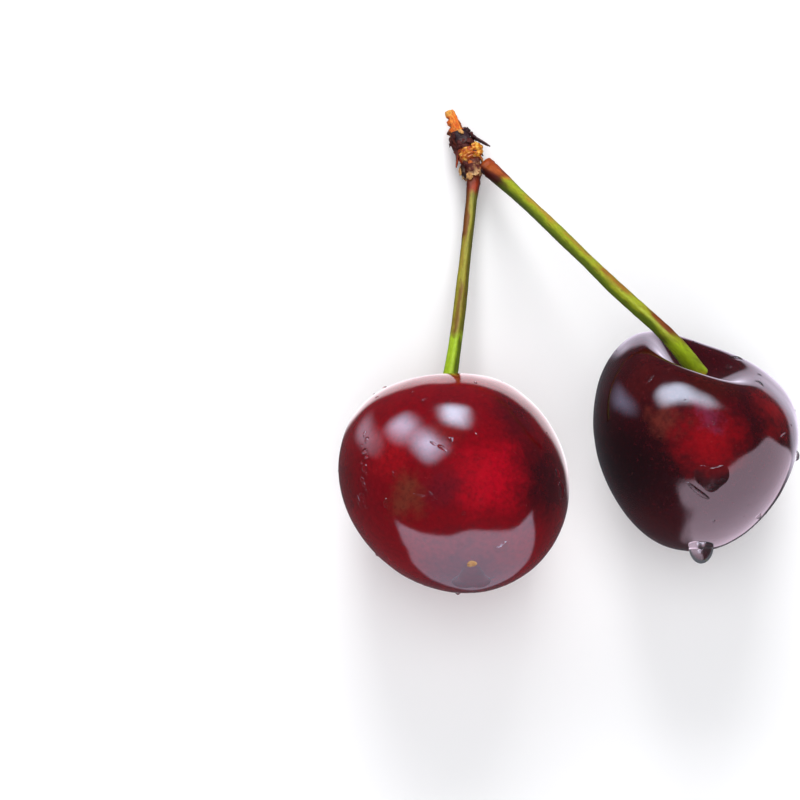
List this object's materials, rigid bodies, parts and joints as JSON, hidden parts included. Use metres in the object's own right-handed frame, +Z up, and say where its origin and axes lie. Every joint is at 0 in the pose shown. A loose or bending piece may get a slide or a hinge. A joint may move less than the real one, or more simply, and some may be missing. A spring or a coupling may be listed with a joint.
{
  "type": "pair of sweet cherries on stalks",
  "caption": "Dark red sweet cherries on green stalks that join on one brown woody spur with dry bud scales, lying on their sides.",
  "frame": {"origin": "under the middle of the pair's bounding box, on the surface that the pair lies on", "axes": "+Z up from the surface, +Y from the fruits to the spur, +X from the left fruit to the right fruit"},
  "size_m": [0.0547, 0.0606, 0.0254],
  "materials": {
    "left_skin": "glossy crimson cherry skin, wet",
    "right_skin": "glossy dark maroon cherry skin, wet",
    "stalk": "satin green plant stalk with brown flecks",
    "spur_bark": "rough red-brown torn bark",
    "bud_scale": "dry dark brown bud scale",
    "bract": "dry tan bract",
    "bract_pad": "amber, slightly glossy bract base"
  },
  "bodies": {
    "root": {"left_cherry": "left_skin", "right_cherry": "right_skin", "left_stalk": "stalk", "right_stalk": "stalk", "spur_stub": "spur_bark", "scale_left": "bud_scale", "scale_right": "bud_scale", "scale_front": "bud_scale", "scale_back": "bud_scale", "bract_front": "bract", "bract_left": "bract", "pad_right": "bract_pad", "pad_left": "bract_pad"}
  },
  "joints": []
}
